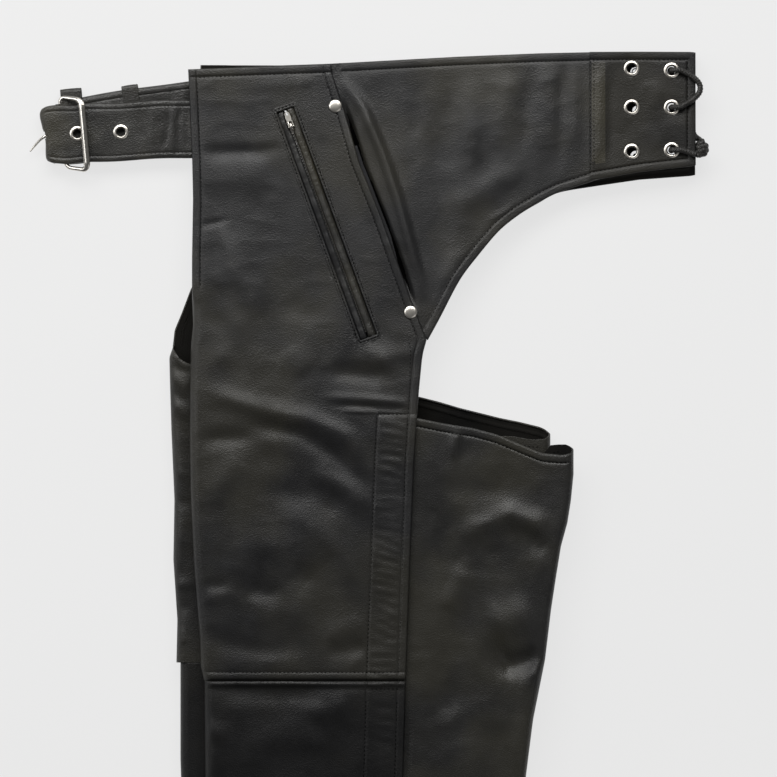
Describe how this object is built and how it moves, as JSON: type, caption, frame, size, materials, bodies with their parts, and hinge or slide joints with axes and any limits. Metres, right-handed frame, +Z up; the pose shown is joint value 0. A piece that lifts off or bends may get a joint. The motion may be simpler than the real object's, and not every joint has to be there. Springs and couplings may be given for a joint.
{
  "type": "leather riding chaps",
  "caption": "Pair of full-length leather leg covers on a buckled belt, with a laced back, zipped pockets and full side zips; folded flat.",
  "frame": {"origin": "centre of the footprint of the folded garment, on the surface it lies on", "axes": "+Y from the hems towards the waist, +X from the buckle towards the back lacing, +Z up from the surface"},
  "size_m": [0.5091, 1.0526, 0.0311],
  "materials": {
    "leg_leather": "semi-matte, fine grain",
    "yoke_leather": "semi-matte, fine grain",
    "belt_leather": "semi-matte, stitched edges",
    "trim_leather": "semi-matte",
    "lace": "matte round cord",
    "lining": "plain woven",
    "zip_tape": "ribbed tape",
    "zip_teeth": "worn metal",
    "nickel": "polished nickel",
    "steel": "polished, slightly worn"
  },
  "bodies": {
    "garment": {"left_front_panel": "leg_leather", "left_lower_panel": "leg_leather", "left_back_panel": "leg_leather", "left_back_yoke": "yoke_leather", "left_lace_tab": "yoke_leather", "left_waist_facing": "trim_leather", "left_pocket_welts": "trim_leather", "left_pocket_zip_tape": "zip_tape", "left_pocket_zip_teeth": "zip_teeth", "left_pocket_bag": "lining", "left_pocket_rivets": "nickel", "left_leg_zip_tape": "zip_tape", "left_leg_zip_teeth": "zip_teeth", "left_leg_zip_stops": "steel", "left_hem_snap_caps": "nickel", "left_hem_snap_studs": "steel", "left_lace_eyelets": "nickel", "left_leg_lining": "lining", "right_front_panel": "leg_leather", "right_lower_panel": "leg_leather", "right_back_panel": "leg_leather", "right_back_yoke": "yoke_leather", "right_lace_tab": "yoke_leather", "right_waist_facing": "trim_leather", "right_pocket_welts": "trim_leather", "right_pocket_zip_tape": "zip_tape", "right_pocket_zip_teeth": "zip_teeth", "right_pocket_bag": "lining", "right_pocket_rivets": "nickel", "right_leg_zip_tape": "zip_tape", "right_leg_zip_teeth": "zip_teeth", "right_leg_zip_stops": "steel", "right_hem_snap_caps": "nickel", "right_hem_snap_studs": "steel", "right_lace_eyelets": "nickel", "right_leg_lining": "lining", "belt_tip_strap": "belt_leather", "belt_buckle_strap": "belt_leather", "belt_eyelets": "nickel", "belt_fixed_keeper": "belt_leather", "back_lace": "lace", "lace_knot": "lace"},
    "left_pocket_slider": {"left_pocket_zip_slider": "steel"},
    "left_pocket_pull": {"left_pocket_zip_pull": "steel"},
    "left_leg_slider": {"left_leg_zip_slider": "steel"},
    "left_leg_pull": {"left_leg_zip_pull": "steel"},
    "right_pocket_slider": {"right_pocket_zip_slider": "steel"},
    "right_pocket_pull": {"right_pocket_zip_pull": "steel"},
    "right_leg_slider": {"right_leg_zip_slider": "steel"},
    "right_leg_pull": {"right_leg_zip_pull": "steel"},
    "buckle_frame": {"buckle_frame": "steel"},
    "buckle_prong": {"buckle_prong": "steel"},
    "belt_sliding_keeper": {"belt_sliding_keeper": "belt_leather"}
  },
  "joints": [
    {"name": "buckle_frame_pivot", "type": "hinge", "parent": "garment", "child": "buckle_frame", "pos_m": [-0.2295, 0.4653, 0.0067], "axis": [0.0916, -0.9958, 0], "range_deg": [0, 90]},
    {"name": "buckle_prong_pivot", "type": "hinge", "parent": "garment", "child": "buckle_prong", "pos_m": [-0.2295, 0.4653, 0.0067], "axis": [0.0916, -0.9958, 0], "range_deg": [-3, 3]},
    {"name": "belt_keeper_slide", "type": "slide", "parent": "garment", "child": "belt_sliding_keeper", "axis": [0.9903, 0.1392, 0], "range_m": [-0.012, 0.015]},
    {"name": "left_pocket_zip_slide", "type": "slide", "parent": "garment", "child": "left_pocket_slider", "axis": [0.3437, -0.9373, 0.0573], "range_m": [0, 0.155]},
    {"name": "left_pocket_pull_hinge", "type": "hinge", "parent": "left_pocket_slider", "child": "left_pocket_pull", "pos_m": [-0.0572, 0.4684, 0.01639], "axis": [0.9391, 0.343, -0.021], "range_deg": [0, 120]},
    {"name": "left_leg_zip_slide", "type": "slide", "parent": "garment", "child": "left_leg_slider", "axis": [0.0285, 0.9996, 0], "range_m": [0, 0.715]},
    {"name": "left_leg_pull_swivel", "type": "hinge", "parent": "left_leg_slider", "child": "left_leg_pull", "pos_m": [-0.00307, -0.50489, 0.0268], "axis": [0, 0, 1], "range_deg": [0, 30]},
    {"name": "right_pocket_zip_slide", "type": "slide", "parent": "garment", "child": "right_pocket_slider", "axis": [0.3437, -0.9391, 0], "range_m": [0, 0.155]},
    {"name": "right_pocket_pull_swivel", "type": "hinge", "parent": "right_pocket_slider", "child": "right_pocket_pull", "pos_m": [-0.05802, 0.47094, 0.0021], "axis": [0, 0, 1], "range_deg": [0, 25]},
    {"name": "right_leg_zip_slide", "type": "slide", "parent": "garment", "child": "right_leg_slider", "axis": [0.0285, 0.9996, 0], "range_m": [0, 0.715]},
    {"name": "right_leg_pull_swivel", "type": "hinge", "parent": "right_leg_slider", "child": "right_leg_pull", "pos_m": [-0.01977, -0.49189, 0.0028], "axis": [0, 0, 1], "range_deg": [0, 30]}
  ]
}
